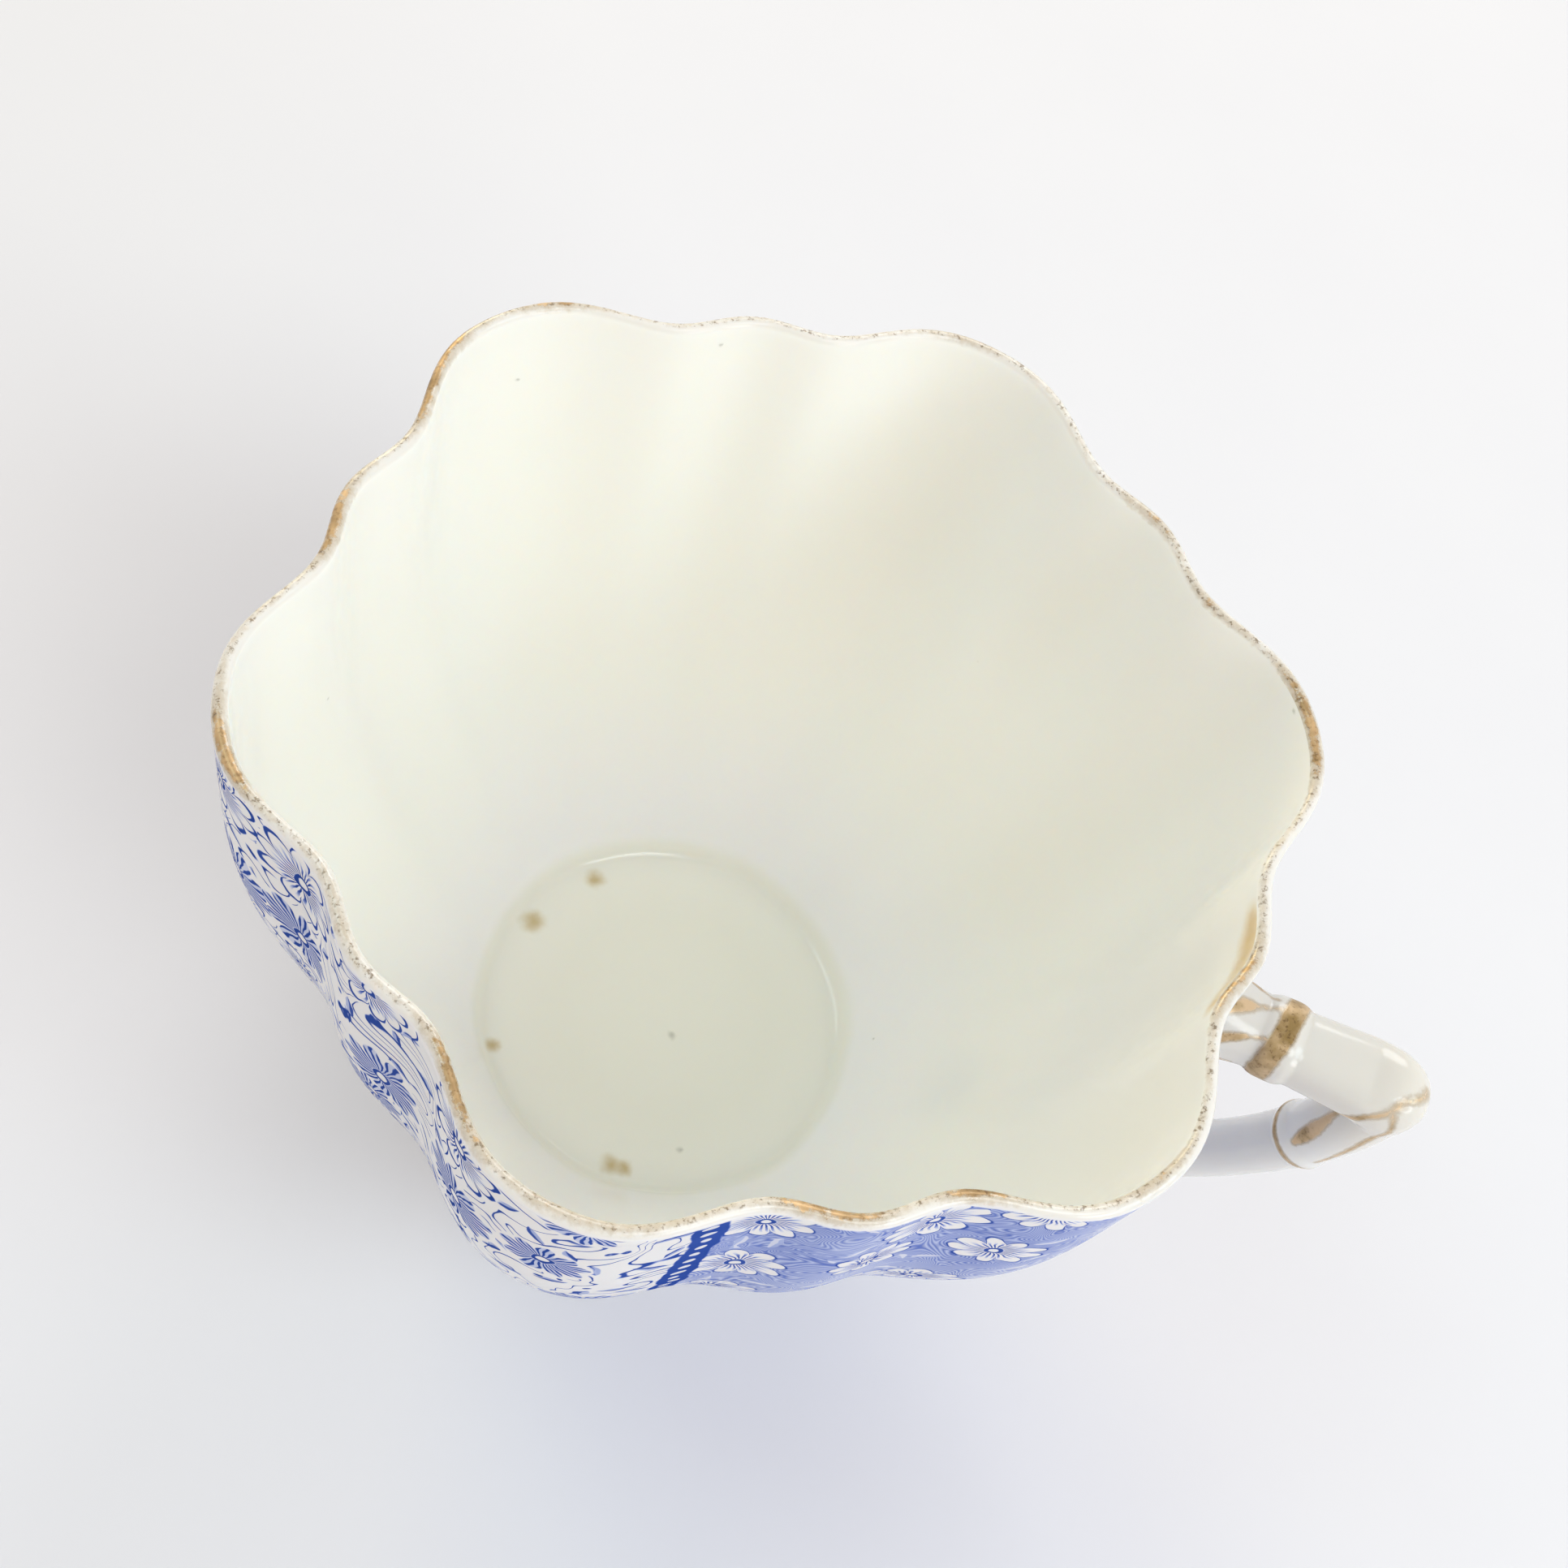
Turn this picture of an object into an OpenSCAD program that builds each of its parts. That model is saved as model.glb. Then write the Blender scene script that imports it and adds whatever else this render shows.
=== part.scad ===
// Fluted bone china teacup with a twig handle, in millimetres.
// +Z is up. The origin is the centre of the foot's flat face, and the handle points along +X.
// The bowl's wall is a loft: round at the foot, and twelve lobes, wide and narrow by turns, at the lip.

/* [Bowl] */
// Height of the lip above the table
cup_h = 66; // [60:0.5:74]
// Mean outer radius of the lip
lip_r = 39.8; // [37:0.1:43]
// Outer radius of the bowl's base, where it stands on the foot
base_r = 20.4; // [19:0.1:23]
// Radius that the belly's curve pulls towards
belly_r = 41.9; // [38:0.1:44]
// Height that the belly's curve pulls towards
belly_z = 39.9; // [34:0.1:44]
// Radius that the curve under the lip pulls towards
neck_r = 38.8; // [37:0.1:42]
// Height that the curve under the lip pulls towards
neck_z = 47.4; // [45:0.1:52]
// Wall thickness at the lip
lip_t = 1.2; // [1:0.1:2]
// Wall thickness beside the floor, measured level
base_t = 3.7; // [2.5:0.1:4.5]
// Thickness of the floor
floor_t = 2.5; // [2:0.1:4]
// Reach of the soft corner between floor and wall
floor_fillet = 0.9; // [0.5:0.1:3]

/* [Flutes] */
// Number of wide lobes, each followed by a narrow one
lobe_pairs = 6; // [5:1:8]
// How far the wide lobes stand out and the narrow ones draw in at the lip
lobe_swing = 2.4; // [1:0.1:3]
// How far every lobe swells out between its valleys at the lip
lobe_swell = 0.8; // [0.2:0.05:1.2]
// How far the valleys are pinched at the lip
valley_pinch = 0.4; // [0:0.05:0.6]
// How much faster the pinch fades than the lobes
pinch_fade = 3; // [1:0.5:4]
// Height above the table where the flutes begin
flute_z = 4.5; // [3:0.5:12]
// How the flutes fade towards the foot: under 1 keeps them longer
fade_power = 0.8; // [0.6:0.05:1.3]
// How softly the flutes begin: 1 is sudden
fade_ease = 1.2; // [1:0.1:2]

/* [Foot] */
// Height of the foot ring
foot_h = 3; // [2:0.1:5]
// Step in from the bowl's base to the foot ring
foot_step = 0.7; // [0.3:0.1:1.5]
// Width of the foot ring where it joins the bowl
foot_w = 3.2; // [2.4:0.1:4.5]
// Width of the flat face that stands on the table
foot_face_w = 1.2; // [0.8:0.1:2]
// Radius of the foot ring's outer edge
foot_round = 0.8; // [0.4:0.1:1]

/* [Handle] */
// Drop from the lip to the middle of the upper bar
bar_drop = 11.2; // [9:0.1:14]
// Rise of the upper bar from its root to the elbow
bar_rise = 1.3; // [0:0.1:2]
// Reach from the wall to the middle of the leg at the elbow
handle_reach = 15.7; // [13:0.1:21]
// Height of the middle of the lower root
low_root_z = 20; // [17:0.5:24]
// Width of the upper bar at its root
bar_w = 5.2; // [4.5:0.1:7]
// Width of the upper bar at the elbow
elbow_w = 7; // [5:0.1:8.5]
// Thickness of the upper bar
bar_t = 4.6; // [3.8:0.1:6]
// Thickness of the leg below the elbow
leg_top_t = 5.9; // [4.5:0.1:7]
// Thickness of the leg above its lower root
leg_low_t = 5; // [4:0.1:6]
// How square the upper bar is across: 0 is round
bar_squareness = 0.34; // [0:0.02:0.5]
// Run of the bend at the elbow
elbow_run = 2.5; // [2:0.1:5]
// How far the elbow's outer corner is drawn out to a point
elbow_peak = 2; // [0:0.1:2.5]
// How narrow the elbow's point is: 1 is as wide as the bar
keel_power = 2; // [1:0.5:4]
// Height that the leg's curve pulls down to before it turns in
leg_pull_z = 37.5; // [34:0.5:42]
// Reach from the wall that the leg's curve pulls in from at the lower root
leg_pull_reach = 13.5; // [10:0.5:18]
// How far each root spreads where it meets the wall
root_spread = 0.9; // [0.5:0.1:2]
// Length over which a root spreads
root_len = 3; // [2:0.1:6]
// Distance from the wall to the middle of the knot
knot_reach = 6.1; // [5:0.1:9]
// Length of the knot along the bar
knot_w = 3.6; // [2:0.1:5]
// Height of the knot above the bar
knot_h = 0.35; // [0.2:0.05:1]
// Drop from the upper bar to the node on the leg
node_drop = 12.4; // [9:0.1:16]
// Length of the node along the leg
node_w = 2.4; // [1.6:0.1:4]
// Height of the node above the leg
node_h = 0.3; // [0.1:0.05:0.6]

/* [Bonds] */
// Thickness of the slip that sticks a root to the wall
slip_t = 0.8; // [0.5:0.1:1.5]
// How far the sponged slip spreads beyond the root on the wall
slip_spread = 0.7; // [0.3:0.1:1.2]
// Gap left at each face of the slip
bond_gap = 0.1; // [0.05:0.05:0.2]

/* [Hidden] */

$fn = 96;
china = "#f1f0e8";
unglazed_china = "#e6e0d2";

// Steps of the lofts
steps_per_pair = 20;
wall_steps = 11;
inner_steps = 9;
lip_steps = 4;
fillet_steps = 3;
handle_sides = 20;
bar_steps = 16;
elbow_steps = 7;
leg_steps = 34;
cap_rings = 3;
solve_steps = 24;
surface_steps = 6;

around = lobe_pairs * steps_per_pair;
floor_z = foot_h + floor_t;
lip_round = lip_t / 2;
foot_r = base_r - foot_step;
bar_z = cup_h - bar_drop;

// Points on a cubic and a quadratic curve
function cubic(p, t) =
  pow(1 - t, 3) * p[0] + 3 * pow(1 - t, 2) * t * p[1] + 3 * (1 - t) * t * t * p[2] + pow(t, 3) * p[3];
function quadratic(p, t) = pow(1 - t, 2) * p[0] + 2 * (1 - t) * t * p[1] + t * t * p[2];

// The outer profile as [radius, height], from the base to the lip, and its radius at a height
profile = [[base_r, foot_h], [belly_r, belly_z], [neck_r, neck_z], [lip_r, cup_h]];
function profile_t(z, low = 0, high = 1, steps = solve_steps) =
  let (mid = (low + high) / 2)
  steps == 0 ? mid
  : cubic(profile, mid)[1] < z ? profile_t(z, mid, high, steps - 1)
  : profile_t(z, low, mid, steps - 1);
function outer_r(z) = cubic(profile, profile_t(z))[0];

// The wall thins from the floor to the lip
function wall_t(z) = lip_t + (base_t - lip_t) * pow((cup_h - z) / (cup_h - floor_z), 2);
function inner_r(z) = outer_r(z) - wall_t(z);

// The flutes: full at the lip, none at the foot
function fade(z) = pow(sin(90 * pow(max(z - flute_z, 0) / (cup_h - flute_z), fade_power)), fade_ease);
function flute(a, z) =
  fade(z) * (lobe_swell * cos(2 * lobe_pairs * a) - lobe_swing * cos(lobe_pairs * a))
  + pow(fade(z), pinch_fade) * valley_pinch * cos(3 * lobe_pairs * a);

// How far out the wall's outer face lies along X at a given Y and height
function wall_x(y, z, steps = surface_steps, a = 0) =
  let (r = outer_r(z) + flute(a, z))
  steps == 0 ? sqrt(r * r - y * y) : wall_x(y, z, steps - 1, asin(y / r));

// Rings of the bowl as [mean radius, height], from the base over the lip to the floor
outer_rings = [for (i = [0 : wall_steps])
  let (z = foot_h + (cup_h - lip_round - foot_h) * i / wall_steps) [outer_r(z), z]];
lip_rings = [for (i = [1 : lip_steps - 1])
  let (a = 180 * i / lip_steps) [lip_r - lip_round + lip_round * cos(a), cup_h - lip_round + lip_round * sin(a)]];
inner_rings = [for (i = [0 : inner_steps])
  let (z = cup_h - lip_round - (cup_h - lip_round - floor_z - floor_fillet) * i / inner_steps) [inner_r(z), z]];
fillet_curve = [
  [inner_r(floor_z + floor_fillet), floor_z + floor_fillet],
  [inner_r(floor_z), floor_z],
  [inner_r(floor_z) - floor_fillet, floor_z]
];
fillet_rings = [for (i = [1 : fillet_steps]) quadratic(fillet_curve, i / fillet_steps)];
bowl_rings = concat(outer_rings, lip_rings, inner_rings, fillet_rings);

// Faces of a skin through rings of equal size, whose points follow one another in one list
function skin(rings, sides) = [
  for (i = [0 : rings - 2], j = [0 : sides - 1])
    let (k = (j + 1) % sides, a = i * sides + j, b = i * sides + k)
    each [[a, b, b + sides], [a, b + sides, a + sides]]
];
function first_cap(sides, centre) = [for (j = [0 : sides - 1]) [(j + 1) % sides, j, centre]];
function last_cap(rings, sides, centre) =
  let (start = (rings - 1) * sides) [for (j = [0 : sides - 1]) [start + j, start + (j + 1) % sides, centre]];
module loft(rings, first_centre, last_centre) {
  count = len(rings);
  sides = len(rings[0]);
  points = concat([for (ring = rings) each ring], [first_centre, last_centre]);
  faces = concat(
    skin(count, sides),
    first_cap(sides, count * sides),
    last_cap(count, sides, count * sides + 1)
  );
  polyhedron(points, [for (f = faces) [f[2], f[1], f[0]]]);
}

function bowl_ring(ring) = [
  for (j = [0 : around - 1])
    let (a = 360 * j / around, r = ring[0] + flute(a, ring[1])) [r * cos(a), r * sin(a), ring[1]]
];

module bowl() {
  color(china) loft([for (ring = bowl_rings) bowl_ring(ring)], [0, 0, foot_h], [0, 0, floor_z]);
}

// The foot ring's outer edge is rounded, and its inner face slopes up to the bowl
module foot_ring() {
  face_r = foot_r - foot_round;
  color(unglazed_china) rotate_extrude() difference() {
    polygon([[foot_r - foot_w, foot_h], [foot_r, foot_h], [foot_r, 0], [face_r - foot_face_w, 0]]);
    difference() {
      translate([face_r, -foot_round]) square(2 * foot_round);
      translate([face_r, foot_round]) circle(foot_round);
    }
  }
}

// The handle's middle line in the plane y = 0: a bar, an elbow and a leg that turns in to the wall
root_x = wall_x(0, bar_z) + slip_t + bond_gap;
low_wall_x = wall_x(0, low_root_z);
low_root_x = low_wall_x + slip_t + bond_gap;
elbow_x = wall_x(0, bar_z) + handle_reach;
elbow_z = bar_z + bar_rise;
bar_line = [[root_x, bar_z], [elbow_x - elbow_run, elbow_z]];
elbow_curve = [bar_line[1], [elbow_x, elbow_z], [elbow_x, elbow_z - elbow_run]];
leg_curve = [
  elbow_curve[2],
  [elbow_x, leg_pull_z],
  [low_wall_x + leg_pull_reach, low_root_z],
  [low_root_x, low_root_z]
];
middle_line = concat(
  [for (i = [0 : bar_steps]) bar_line[0] + (bar_line[1] - bar_line[0]) * i / bar_steps],
  [for (i = [1 : elbow_steps]) quadratic(elbow_curve, i / elbow_steps)],
  [for (i = [1 : leg_steps]) cubic(leg_curve, i / leg_steps)]
);
last_station = len(middle_line) - 1;

// Direction of the middle line at a station: level at both roots, so that they face the wall
function heading(i) =
  i == 0 ? [1, 0]
  : i == last_station ? [-1, 0]
  : let (d = middle_line[i + 1] - middle_line[i - 1]) d / norm(d);

// Shares from 0 to 1 that shape the handle along its middle line
function bump(d, w) = abs(d) < w / 2 ? pow(cos(180 * d / w), 2) : 0;
function plateau(d, w) = abs(d) < w / 2 ? pow(1 - pow(2 * d / w, 4), 2) : 0;
function spread_at(p) =
  let (d = p[1] < (bar_z + low_root_z) / 2 ? p[0] - low_root_x : p[0] - root_x)
  exp(-pow(d / root_len, 2));
function leg_share(p) = min(1, max(0, (elbow_z - p[1]) / elbow_run));
function bar_share(p) = min(1, (p[0] - root_x) / (elbow_x - root_x));
function knot_at(p) = p[1] > elbow_z - elbow_run ? plateau(p[0] - root_x + slip_t - knot_reach, knot_w) : 0;
function node_at(p) = p[0] > root_x + handle_reach / 2 ? bump(p[1] - elbow_z + node_drop, node_w) : 0;
function peak_at(p) = bump(norm(p - [elbow_x, elbow_z]), 2 * elbow_run);

// A cross-section: flat-sided on the bar, round on the leg
function rounded(c, power) = sign(c) * pow(abs(c), power);
function section(i) =
  let (
    p = middle_line[i],
    h = heading(i),
    out = [-h[1], h[0]],
    leg = leg_share(p),
    leg_t = leg_low_t + (leg_top_t - leg_low_t) * max(0, (p[1] - leg_pull_z) / (elbow_z - leg_pull_z)),
    extra = root_spread * spread_at(p) + knot_h * knot_at(p) + node_h * node_at(p),
    top_w = bar_w + (elbow_w - bar_w) * bar_share(p),
    half_w = (top_w + (leg_t - top_w) * leg) / 2 + extra,
    half_t = (bar_t + (leg_t - bar_t) * leg) / 2 + extra,
    power = 1 - bar_squareness * (1 - max(leg, spread_at(p)))
  )
  [for (j = [0 : handle_sides - 1])
    let (
      a = 360 * j / handle_sides,
      up = rounded(cos(a), power) * half_t + pow(max(cos(a), 0), keel_power) * elbow_peak * peak_at(p),
      along_y = -rounded(sin(a), power) * half_w
    )
    [p[0] + out[0] * up, along_y, p[1] + out[1] * up]];

// A ring laid on the wall, at a share of a root's own section, with a spread and a gap to the wall
function on_wall(ring, mid_z, share, spread, gap) = [
  for (v = ring)
    let (
      reach = norm([v[1], v[2] - mid_z]),
      grow = share * (reach + spread) / reach,
      y = v[1] * grow,
      z = mid_z + (v[2] - mid_z) * grow
    )
    [wall_x(y, z) + gap, y, z]
];
function wall_rings(ring, mid_z, spread, gap) =
  [for (k = [1 : cap_rings]) on_wall(ring, mid_z, k / cap_rings, spread, gap)];
function reversed(list) = [for (i = [len(list) - 1 : -1 : 0]) list[i]];

upper_root = section(0);
lower_root = section(last_station);
handle_gap = slip_t + bond_gap;

module handle() {
  upper = wall_rings(upper_root, bar_z, 0, handle_gap);
  lower = wall_rings(lower_root, low_root_z, 0, handle_gap);
  color(china) loft(
    concat(upper, [for (i = [1 : last_station - 1]) section(i)], reversed(lower)),
    [wall_x(0, bar_z) + handle_gap, 0, bar_z],
    [wall_x(0, low_root_z) + handle_gap, 0, low_root_z]
  );
}

// A pad of slip between the wall and a root, sponged out to a wider edge on the wall
module slip_pad(root, mid_z) {
  on_bowl = wall_rings(root, mid_z, slip_spread, bond_gap);
  on_root = wall_rings(root, mid_z, 0, slip_t);
  loft(
    concat(on_bowl, reversed(on_root)),
    [wall_x(0, mid_z) + bond_gap, 0, mid_z],
    [wall_x(0, mid_z) + slip_t, 0, mid_z]
  );
}

module upper_slip_joint() {
  color(unglazed_china) slip_pad(upper_root, bar_z);
}

module lower_slip_joint() {
  color(unglazed_china) slip_pad(reversed(lower_root), low_root_z);
}

bowl();
foot_ring();
handle();
upper_slip_joint();
lower_slip_joint();
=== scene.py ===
"""Looks of a fluted bone china teacup with a twig handle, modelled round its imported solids, in metres."""
import math
from functools import partial

import bpy
from mathutils import Euler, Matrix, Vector


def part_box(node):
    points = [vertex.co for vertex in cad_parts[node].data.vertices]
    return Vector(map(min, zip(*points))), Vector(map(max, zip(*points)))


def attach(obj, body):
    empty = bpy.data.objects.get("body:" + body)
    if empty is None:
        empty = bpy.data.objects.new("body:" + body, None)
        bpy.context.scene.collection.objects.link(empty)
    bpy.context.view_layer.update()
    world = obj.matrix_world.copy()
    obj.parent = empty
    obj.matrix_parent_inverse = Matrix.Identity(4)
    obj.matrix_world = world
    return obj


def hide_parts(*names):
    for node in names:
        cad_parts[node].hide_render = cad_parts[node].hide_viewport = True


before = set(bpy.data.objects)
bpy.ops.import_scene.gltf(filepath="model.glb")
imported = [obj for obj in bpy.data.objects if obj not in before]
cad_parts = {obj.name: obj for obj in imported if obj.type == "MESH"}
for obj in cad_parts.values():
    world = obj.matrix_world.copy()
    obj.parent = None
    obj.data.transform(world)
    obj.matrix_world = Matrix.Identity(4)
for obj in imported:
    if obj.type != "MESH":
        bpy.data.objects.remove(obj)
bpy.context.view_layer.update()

MM = 0.001

# Sizes of the bowl in millimetres, as its solid has them
cup_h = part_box("bowl")[1].z / MM
foot_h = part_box("bowl")[0].z / MM
lip_r = 39.8
base_r = 20.4
outer_curve = ((base_r, foot_h), (41.9, 39.9), (38.8, 47.4), (lip_r, cup_h))
lip_t = 1.2
base_t = 3.7
floor_z = foot_h + 2.5
floor_fillet = 0.9
base_round = 0.7
lobe_pairs = 6
lobe_swing = 2.4
lobe_swell = 0.8
valley_pinch = 0.4
pinch_fade = 3
flute_z = 4.5
fade_power = 0.8
fade_ease = 1.2

# Sizes of the handle in millimetres, as its solid has them. The roots stop just short of the wall,
# hidden by the slip, so that the wall takes light from them too.
bar_z = cup_h - 11.2
bar_rise = 1.3
handle_reach = 15.7
low_root_z = 20
bar_w = 5.2
elbow_w = 7
bar_t = 4.6
leg_top_t = 5.9
leg_low_t = 5
bar_squareness = 0.34
elbow_run = 2.5
keel_power = 2
elbow_peak = 1.9
leg_pull_z = 37.5
leg_pull_reach = 13.5
root_spread = 0.9
root_len = 3
knot_reach = 6.1
knot_w = 3.6
knot_h = 0.35
node_drop = 12.4
node_w = 2.4
node_h = 0.3
root_gap = 0.03
slip_spread = 0.9
slip_climb = 1.3
slip_sink = 0.04
slip_lap = 0.4

# Steps of the meshes, and how many of them along the handle its heading is taken over
around_steps = 360
wall_steps = 64
lip_steps = 14
inner_steps = 48
fillet_steps = 10
floor_steps = 8
handle_sides = 96
bar_steps = 90
elbow_steps = 40
leg_steps = 150
slip_steps = 8
heading_reach = 8

# Print under the glaze, in millimetres at the lip and degrees round the cup: panels between beaded ribbons,
# beds of one flower each, whose radius varies, leaves, and two lines above the foot
print_margin = 0.88
print_seam = 165
panel_middle = -45
panel_half = 30
ribbon_half = 1.2
bead_space = 1.9
bed_space = 10.4
leaf_space = 4.6
petals = 9
flower_r = 3.2
flower_more = 1.4
print_end_z = 7
foot_lines_z = 6.2
foot_lines_half = 0.9
foot_line_space = 1.1

# Gilding on the lip: a painted line that wanders across the crest, its half width, and where it has lasted,
# as the middle and half length of each patch in degrees round the cup and how much of it is left
gilt_drop = -0.05
gilt_wander = 0.35
gilt_turn = 160
gilt_half = 0.43
gilt_whole = 0.26
gilt_loss = 0.8
# How dull the lip's gold is: tarnish, and a painted dark reflection
lip_tarnish_and_dark_reflection = 0.5
gilt_fade = 7
gilt_patches = (
    (-145, 5.5, 1), (-103.5, 5.5, 1), (-64, 6, 0.95), (-48, 4, 1), (30.5, 7.5, 0.9), (143.5, 3.5, 0.9),
    (161, 8, 1), (184.5, 6.2, 1), (-5, 6, 0.8), (-85, 9, 0.45), (-30, 5, 0.5), (48, 3, 0.6), (62, 4, 0.6),
    (94, 4, 0.55), (-125, 5, 0.4),
)

# Gilding on the handle as brush strokes: points of (along, degrees round from the top, half width).
# Near strokes are painted once, side strokes on both sides. A band is its middle along the handle,
# its lean, its half width and how dull its gold is, tarnish and a painted dark reflection. The girth's
# radius turns degrees into millimetres.
handle_girth = 2.9
near_strokes = (
    ((1.3, 16, 0.35), (2.2, 4, 0.42), (3.1, -2, 0.26), (3.4, -4, 0.1), (4.6, -11, 0.09), (5.8, -15, 0.09)),
    ((15.25, 0, 0.09), (14.7, 26, 0.08), (14.6, 45, 0.1)),
)
side_strokes = (
    ((1.2, 64, 0.38), (1.9, 56, 0.42), (2.65, 49, 0.36), (3.3, 42, 0.28), (3.7, 39, 0.1), (4.8, 30, 0.09)),
    ((1, 104, 0.2), (3.4, 108, 0.12)),
    ((14.6, 48, 0.1), (14.45, 66, 0.17), (13.95, 92, 0.28), (12.4, 120, 0.2)),
    (
        (18.4, 143, 0.2), (19.6, 142, 0.3), (20.9, 139, 0.45), (22.8, 135, 0.65), (24.5, 131, 0.6),
        (25.8, 127, 0.3),
    ),
    ((14.6, 46, 0.08), (15.2, 60, 0.12), (16.5, 72, 0.22), (18.5, 76, 0.24), (21, 73, 0.24), (26, 66, 0.15)),
)
# How dull the strokes' gold is: tarnish, and a painted dark reflection
stroke_tarnish_and_dark_reflection = 0.1
collar_band = (6.15, -0.7, 0.9, 0.6)
node_band = (27.5, 0.2, 0.3, 0.5)

# Inside the cup, in millimetres: the middle of the wall that the dense print outside darkens, how far
# that reaches, and tea stains, thin gold spread inside the lip and pits in the glaze by place and size
dense_print = (36, -6, 50)
dense_reach = (8, 27)
stains = (
    ((-12.7, 10, 5.5), 1.5), ((-16.1, 2.6, 5.5), 1.8), ((-13.4, -11.1, 5.6), 1.1), ((2.1, -16.4, 5.5), 1.4),
    ((3.4, -16.1, 5.5), 1.1),
)
gold_spread = (
    ((36.2, -5.2, 64.8), 1.8), ((36.6, -3.6, 64.5), 2.3), ((37, -1.9, 64.3), 2.6), ((37.3, -0.2, 64.3), 2.7),
    ((37.5, 1.4, 64.4), 2.5), ((37.6, 3, 64.6), 2.2),
)
pits = (
    ((1.7, -1.6, 5.5), 0.6), ((7.4, -11.9, 5.5), 0.5), ((-35.1, -7.3, 47.7), 0.3),
    ((-34.6, 21.9, 58.2), 0.3), ((-20.8, 30.6, 63.9), 0.3), ((11.4, 32.1, 38.9), 0.3),
    ((19.9, 6.2, 9.7), 0.3), ((34.6, 22.4, 64.9), 0.35),
)

# Table and light in metres: the table fades into the backdrop between two distances, and each lamp is a
# soft disk a metre from where it aims, by its azimuth, elevation, watts and colour
table_size = 3
fade_start = 0.25
fade_end = 0.7
room_light = (0.565, 0.535, 0.55, 1)
lamp_size = 0.45
lamp_aim = Vector((0, 0, 0.03))
lamps = (
    ("window_right", 0, 38, 1.7, (0.68, 0.88, 1)),
    ("window_front", -30, 58, 1.95, (0.92, 0.97, 1)),
    ("window_low", -30, 18, 2, (0.94, 0.97, 1)),
    ("room_back", 90, 38, 1.85, (1, 1, 1)),
    ("room_left", 180, 58, 1.1, (0.75, 1, 1)),
    ("room_warm", 135, 18, 2.5, (1, 0.83, 0.45)),
)

# Camera: sensor and lens in millimetres, place in metres, turn in degrees
sensor = 36
lens = 45.31
camera_place = (0.00224, -0.08058, 0.18858)
camera_turn = (28.618, -13.189, 23.797)


# The bowl's shape
def cubic(p, t):
    weights = ((1 - t) ** 3, 3 * (1 - t) ** 2 * t, 3 * (1 - t) * t * t, t ** 3)
    return tuple(sum(w * q[i] for w, q in zip(weights, p)) for i in range(2))


def quadratic(p, t):
    weights = ((1 - t) ** 2, 2 * (1 - t) * t, t * t)
    return tuple(sum(w * q[i] for w, q in zip(weights, p)) for i in range(2))


def outer_r(z):
    low, high = 0.0, 1.0
    for _ in range(40):
        middle = (low + high) / 2
        if cubic(outer_curve, middle)[1] < z:
            low = middle
        else:
            high = middle
    return cubic(outer_curve, low)[0]


def inner_r(z):
    rise = (cup_h - z) / (cup_h - floor_z)
    return outer_r(z) - lip_t - (base_t - lip_t) * rise ** 2


def flute(angle, z):
    """How far the wall stands out from its mean radius: lobed at the lip, round at the foot."""
    turn = lobe_pairs * angle
    rise = max(z - flute_z, 0) / (cup_h - flute_z)
    fade = math.sin(math.pi / 2 * rise ** fade_power) ** fade_ease
    lobes = lobe_swell * math.cos(2 * turn) - lobe_swing * math.cos(turn)
    return fade * lobes + fade ** pinch_fade * valley_pinch * math.cos(3 * turn)


def wall_x(y, z):
    """How far out the wall's outer face lies along X at a given Y and height."""
    angle = 0.0
    for _ in range(6):
        radius = outer_r(z) + flute(angle, z)
        angle = math.asin(y / radius)
    return math.sqrt(radius * radius - y * y)


def steps(count, start, end):
    return [start + (end - start) * i / count for i in range(count + 1)]


def clamp(x):
    return min(1, max(0, x))


def bowl_profile():
    """The bowl's profile as (radius, height), from under the base over the lip to the middle of the floor.

    The second result is the index of the lip's crest.
    """
    half = lip_t / 2
    corner_end = (outer_r(foot_h + base_round), foot_h + base_round)
    corner = ((base_r - base_round, foot_h), (base_r, foot_h), corner_end)
    under = [(r, foot_h) for r in steps(floor_steps, 0, base_r - base_round)]
    round_off = [quadratic(corner, t) for t in steps(fillet_steps, 0, 1)[1:]]
    wall = [(outer_r(z), z) for z in steps(wall_steps, foot_h + base_round, cup_h - half)[1:]]
    edge_r = wall[-1][0]
    lip = [
        (edge_r - half + half * math.cos(a), cup_h - half + half * math.sin(a))
        for a in steps(lip_steps, 0, math.pi)[1:-1]
    ]
    inside = [(inner_r(z), z) for z in steps(inner_steps, cup_h - half, floor_z + floor_fillet)]
    bend = (inside[-1], (inner_r(floor_z), floor_z), (inner_r(floor_z) - floor_fillet, floor_z))
    fillet = [quadratic(bend, t) for t in steps(fillet_steps, 0, 1)[1:]]
    floor = [(r, floor_z) for r in steps(floor_steps, fillet[-1][0], 0)[1:]]
    crest = len(under) + len(round_off) + len(wall) + lip_steps // 2 - 1
    return under + round_off + wall + lip + inside + fillet + floor, crest


def lip_gilding(degrees, drop):
    """How deep in millimetres a place on the lip lies inside the gilding that is left, inside its old band,
    and how dull its gold is: tarnish, and a painted dark reflection.
    """
    left = 0.0
    for place, half, share in gilt_patches:
        off = abs((degrees - place + 180) % 360 - 180)
        left = max(left, share * clamp((half - off) / gilt_fade + 0.5))
    middle = gilt_drop + gilt_wander * math.cos(math.radians(degrees - gilt_turn))
    band = gilt_half - abs(drop - middle)
    return min(band, gilt_whole) - gilt_loss * (1 - left), band, lip_tarnish_and_dark_reflection


def select_only(*pieces):
    bpy.ops.object.select_all(action="DESELECT")
    for piece in pieces:
        piece.select_set(True)
    bpy.context.view_layer.objects.active = pieces[0]


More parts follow.
